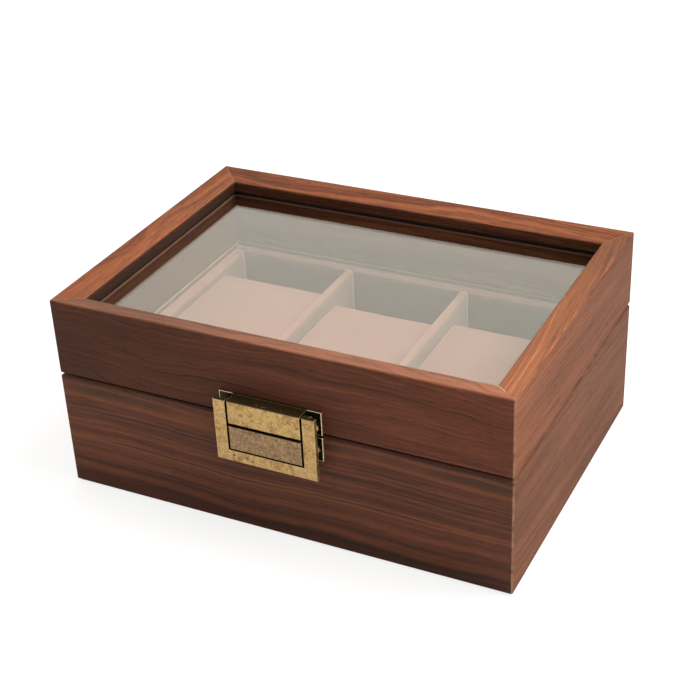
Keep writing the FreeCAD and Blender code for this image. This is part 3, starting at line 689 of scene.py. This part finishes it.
def lined_board(node):
    """A board wrapped in velvet: rounded along its top, its nap not quite even."""
    low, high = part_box(node)
    size = high - low
    length = 0 if size.x > size.y else 1          # axis along the board
    thick = 1 - length                            # axis through it
    steps = int(size[length] / BOARD_STEP)
    middle = (low[thick] + high[thick]) / 2
    profile = board_profile(size[thick] / 2, size.z)

    build = bmesh.new()
    rings = []
    for i in range(steps + 1):
        ring = []
        for offset, height in profile:
            place = [0, 0, low.z + height]
            place[length] = low[length] + size[length] * i / steps
            place[thick] = middle + offset
            ring.append(build.verts.new(place))
        rings.append(ring)
    for ring, following in zip(rings, rings[1:]):
        for j in range(len(profile) - 1):
            build.faces.new((ring[j], ring[j + 1], following[j + 1], following[j]))
        build.faces.new((ring[-1], ring[0], following[0], following[-1]))
    ends = [build.faces.new(rings[0]), build.faces.new(list(reversed(rings[-1])))]
    build.faces.index_update()
    ends = {face.index for face in ends}
    bmesh.ops.recalc_face_normals(build, faces=build.faces)

    # sink the nap unevenly, but leave the outer side of a wall flat
    for vert in build.verts:
        sink = abs(noise.noise(vert.co * 55.0) * 0.00018
                   + noise.noise(vert.co * 210.0) * 0.00009) + 0.00004
        offset = vert.co[thick] - middle
        if offset * middle <= 0 or "divider" in node:
            vert.co[thick] -= math.copysign(sink, offset)
        if vert.co.z > high.z - 0.0005:
            vert.co.z -= sink * 0.5

    board = mesh_object("lining_" + node, build)
    for face in board.data.polygons:
        face.use_smooth = face.index not in ends
    board.data.materials.append(velvet_wall)
    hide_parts(node)
    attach(board, "base")


for node in ("tray_front_wall", "tray_back_wall", "tray_left_wall", "tray_right_wall",
             "divider_left", "divider_right"):
    lined_board(node)


# ------------------------------------------------------------------ cushions
PAD_END_GAP = 0.0003      # space left at each X end of a cushion
PAD_SIDE_GAP = 0.0011     # the same at each Y side, before it swells
PAD_CROWN_ROOM = 0.0013   # height left above the block for the crown
PAD_CROWN = 0.0014        # rise of the crown
PAD_WAIST = 0.0010        # how far the sides draw in at half height
MAX_SWELL = 0.008         # longest move taken from the cloth
CLOTH_FRAMES = 20


def rounded_block(low, high, step, radius, turn=4):
    """A closed block with all edges rounded, in `turn` parts at each edge and near `step` between."""
    center = (low + high) / 2
    half = (high - low) / 2
    lines = []
    for axis in range(3):
        inner = half[axis] - radius
        count = max(2, int(round(2 * inner / step)))
        line = [-half[axis] + radius * i / turn for i in range(turn)]
        line += [-inner + 2 * inner * i / count for i in range(count + 1)]
        line += [inner + radius * (i + 1) / turn for i in range(turn)]
        lines.append(line)
    build = bmesh.new()
    made = {}

    def vert(*key):
        if key not in made:
            point = Vector([line[i] for line, i in zip(lines, key)])
            core = Vector([max(-(half[axis] - radius), min(half[axis] - radius, point[axis]))
                           for axis in range(3)])
            # the angle follows the share of the way, for an even turn around each edge
            out = Vector([math.copysign(math.tan(min(1.0, abs(reach) / radius) * math.pi / 4),
                                        reach) for reach in point - core])
            made[key] = build.verts.new(center + core + out.normalized() * radius)
        return made[key]

    for axis in range(3):
        second, third = (axis + 1) % 3, (axis + 2) % 3
        for end in (0, len(lines[axis]) - 1):
            for i in range(len(lines[second]) - 1):
                for j in range(len(lines[third]) - 1):
                    quad = []
                    for di, dj in ((0, 0), (1, 0), (1, 1), (0, 1)):
                        key = [0, 0, 0]
                        key[axis], key[second], key[third] = end, i + di, j + dj
                        quad.append(vert(*key))
                    if end == 0:
                        quad.reverse()
                    build.faces.new(quad)
    return build


def make_active(thing):
    bpy.context.view_layer.objects.active = thing
    thing.select_set(True)


def swell(name, low, high):
    """Blow up a block of cloth. Returns where its points start and how far each one moves."""
    block = mesh_object(name, rounded_block(low, high, step=0.006, radius=0.006, turn=2))
    make_active(block)
    remesh = block.modifiers.new("remesh", "REMESH")
    remesh.mode = "VOXEL"
    remesh.voxel_size = 0.0050
    bpy.ops.object.modifier_apply(modifier=remesh.name)
    rest = np.array([vert.co for vert in block.data.vertices])

    cloth = block.modifiers.new("cloth", "CLOTH")
    settings = cloth.settings
    settings.quality = 5
    settings.mass = 0.2
    settings.tension_stiffness = 14
    settings.compression_stiffness = 14
    settings.shear_stiffness = 8
    settings.bending_stiffness = 1.2
    settings.use_pressure = True
    settings.uniform_pressure_force = 4.0
    settings.effector_weights.gravity = 0
    cloth.collision_settings.use_self_collision = False
    for span in (scene, cloth.point_cache):
        span.frame_start, span.frame_end = 1, CLOTH_FRAMES
    for frame in range(1, CLOTH_FRAMES + 1):
        scene.frame_set(frame)
    swollen_block = block.evaluated_get(bpy.context.evaluated_depsgraph_get())
    swollen = np.array([vert.co for vert in swollen_block.data.vertices])
    scene.frame_set(1)

    mesh = block.data
    bpy.data.objects.remove(block)
    bpy.data.meshes.remove(mesh)
    move = swollen - rest
    length = np.linalg.norm(move, axis=1)
    move *= np.minimum(1.0, MAX_SWELL / np.maximum(length, 1e-9))[:, None]
    return rest, move


def cloth_push(name, low, high, points):
    """The move of each point, averaged from the ten nearest points of the swollen cloth."""
    rest, move = swell(name, low, high)
    tree = kdtree.KDTree(len(rest))
    for i, place in enumerate(rest):
        tree.insert(place, i)
    tree.balance()
    push = np.zeros_like(points)
    for i, place in enumerate(points):
        total = 0.0
        for _, j, distance in tree.find_n(place, 10):
            weight = 1.0 / (distance + 0.0025) ** 2
            push[i] += move[j] * weight
            total += weight
        push[i] /= total
    return push


def cushion(name, node, seed):
    """Foam in velvet: firm edges, a crowned top and sides that pull in between the corners."""
    low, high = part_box(node)
    start = Vector((low.x + PAD_END_GAP, low.y + PAD_SIDE_GAP, low.z))
    stop = Vector((high.x - PAD_END_GAP, high.y - PAD_SIDE_GAP, high.z - PAD_CROWN_ROOM))
    pad = mesh_object(name, rounded_block(start, stop, step=0.0032, radius=0.0024))
    points = np.array([vert.co for vert in pad.data.vertices])
    # place within the block, -1 to 1 on each axis
    share = (points - np.array(start)) / (np.array(stop) - np.array(start)) * 2 - 1
    push = cloth_push(name + "_air", start, stop, points)
    peak = push[:, 2][share[:, 2] > 0.98].max()
    gain = PAD_CROWN / max(peak, 1e-6)
    shaped = points + push * np.array([0.6, 0.6, 1.0]) * gain
    side = np.abs(share[:, 1]) ** 6
    shaped[:, 1] -= (np.sign(share[:, 1]) * side * PAD_WAIST * (1 - share[:, 0] ** 4)
                     * (1 - np.clip(share[:, 2], -1, 1) ** 2))

    # slight unevenness on the top and sides, kept inside the box of the piece
    for i, vert in enumerate(pad.data.vertices):
        point = Vector(shaped[i])
        upper = max(0.0, min(1.0, (share[i, 2] - 0.6) / 0.4))
        point.z += upper * (noise.noise(point * 24.0 + Vector((seed, 0, 0))) * 0.00035
                            + noise.noise(point * 70.0) * 0.00012)
        point.y += (noise.noise(point * 30.0 + Vector((0, seed, 0))) * 0.00030
                    * abs(share[i, 1]) ** 4)
        for axis, gap in enumerate((0.0001, 0, 0)):
            point[axis] = max(low[axis] + gap, min(high[axis] - gap, point[axis]))
        vert.co = point
    pad.data.update()

    make_active(pad)
    finer = pad.modifiers.new("sub", "SUBSURF")
    finer.levels = finer.render_levels = 1
    bpy.ops.object.modifier_apply(modifier=finer.name)
    pad.select_set(False)
    for face in pad.data.polygons:
        face.use_smooth = True
    pad.data.materials.append(velvet_pad)
    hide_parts(node)
    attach(pad, "base")


for seed, place in enumerate(("left", "middle", "right"), start=1):
    cushion("pad_" + place, "cushion_" + place, seed)


# ------------------------------------------------------------------ floor, light, camera
def pale_floor():
    """A floor that looks nearly white, but lights the box less than it shows."""
    build = bmesh.new()
    bmesh.ops.create_grid(build, x_segments=8, y_segments=8, size=3.0)
    floor = mesh_object("floor", build)
    made, net = material("floor_pale")
    camera_ray, glossy = net.rays("Is Camera Ray", "Is Glossy Ray")
    cloud = net.noise(net.point(), 3.0, detail=2.0, rough=0.5)
    seen = net.mix(cloud, (0.90, 0.90, 0.895), (0.93, 0.93, 0.925))
    color = net.mix(glossy, (0.27, 0.265, 0.255), (0.75, 0.72, 0.68))
    color = net.mix(camera_ray, color, seen)
    matte = net.add("ShaderNodeBsdfDiffuse", {"Color": color})
    glow = net.add("ShaderNodeEmission", {"Color": (1.0, 1.0, 1.0)})
    net.surface(net.blend(camera_ray * 0.80, matte, glow))
    floor.data.materials.append(made)


def studio_world():
    """White to the camera; otherwise brightest toward the back, the right and overhead."""
    world = bpy.data.worlds.new("studio")
    scene.world = world
    world.use_nodes = True
    net = Net(world.node_tree)
    x, y, z = net.split(net.add("ShaderNodeTexCoord", output="Generated"))
    camera_ray, glossy = net.rays("Is Camera Ray", "Is Glossy Ray")
    back = y.remap(-0.25, 0.55)
    front = 1.0 - back
    right = x.remap(-0.1, 0.8)
    overhead = z.remap(0.1, 0.9)
    strength = 0.26 + back * 1.42 + right * 0.75 + overhead * 0.45 + front * glossy * 0.75
    strength = strength + glossy * x.remap(-0.52, -0.28, -0.07, 0.10)
    strength = net.mix(camera_ray, strength, (1.0, 1.0, 1.0))
    tint = net.mix(glossy, (1.0, 0.965, 0.915), (0.93, 0.885, 0.780))
    tint = net.mix(camera_ray, tint, (1.0, 1.0, 1.0))
    sky = net.add("ShaderNodeBackground", {"Color": tint, "Strength": strength})
    net.surface(sky, "ShaderNodeOutputWorld")


def key_light():
    """A large warm disk high on the right, aimed at the box."""
    light = bpy.data.lights.new("key", "AREA")
    light.shape = "DISK"
    light.size = 1.10
    light.energy = 38
    light.color = (1.0, 0.97, 0.93)
    lamp = bpy.data.objects.new("key", light)
    scene.collection.objects.link(lamp)
    place = Vector((0.52, 0.16, 0.90)) * 1.7
    lamp.location = place
    aim = Vector((0, 0, 0.05)) - place
    lamp.rotation_euler = aim.to_track_quat("-Z", "Y").to_euler()


def camera():
    """Looks down on the box from the front right."""
    azimuth = math.radians(27.10)       # round from the front toward the right
    elevation = math.radians(30.49)
    roll = math.radians(-2.67)
    distance = 0.806
    target = Vector((-0.00175, 0.0001, 0.05925))
    back = Vector((math.sin(azimuth) * math.cos(elevation),
                   -math.cos(azimuth) * math.cos(elevation),
                   math.sin(elevation)))
    forward = -back
    level = forward.cross(Vector((0, 0, 1))).normalized()
    upright = level.cross(forward)
    right = level * math.cos(roll) + upright * math.sin(roll)
    up = -level * math.sin(roll) + upright * math.cos(roll)
    lens = bpy.data.cameras.new("camera")
    lens.lens = 77.4
    lens.sensor_width = 36.0
    made = bpy.data.objects.new("camera", lens)
    scene.collection.objects.link(made)
    turn = Matrix((right, up, back)).transposed().to_4x4()
    made.matrix_world = Matrix.Translation(target + back * distance) @ turn
    scene.camera = made


pale_floor()
studio_world()
key_light()
camera()
scene.view_settings.view_transform = "Standard"
scene.view_settings.look = "None"
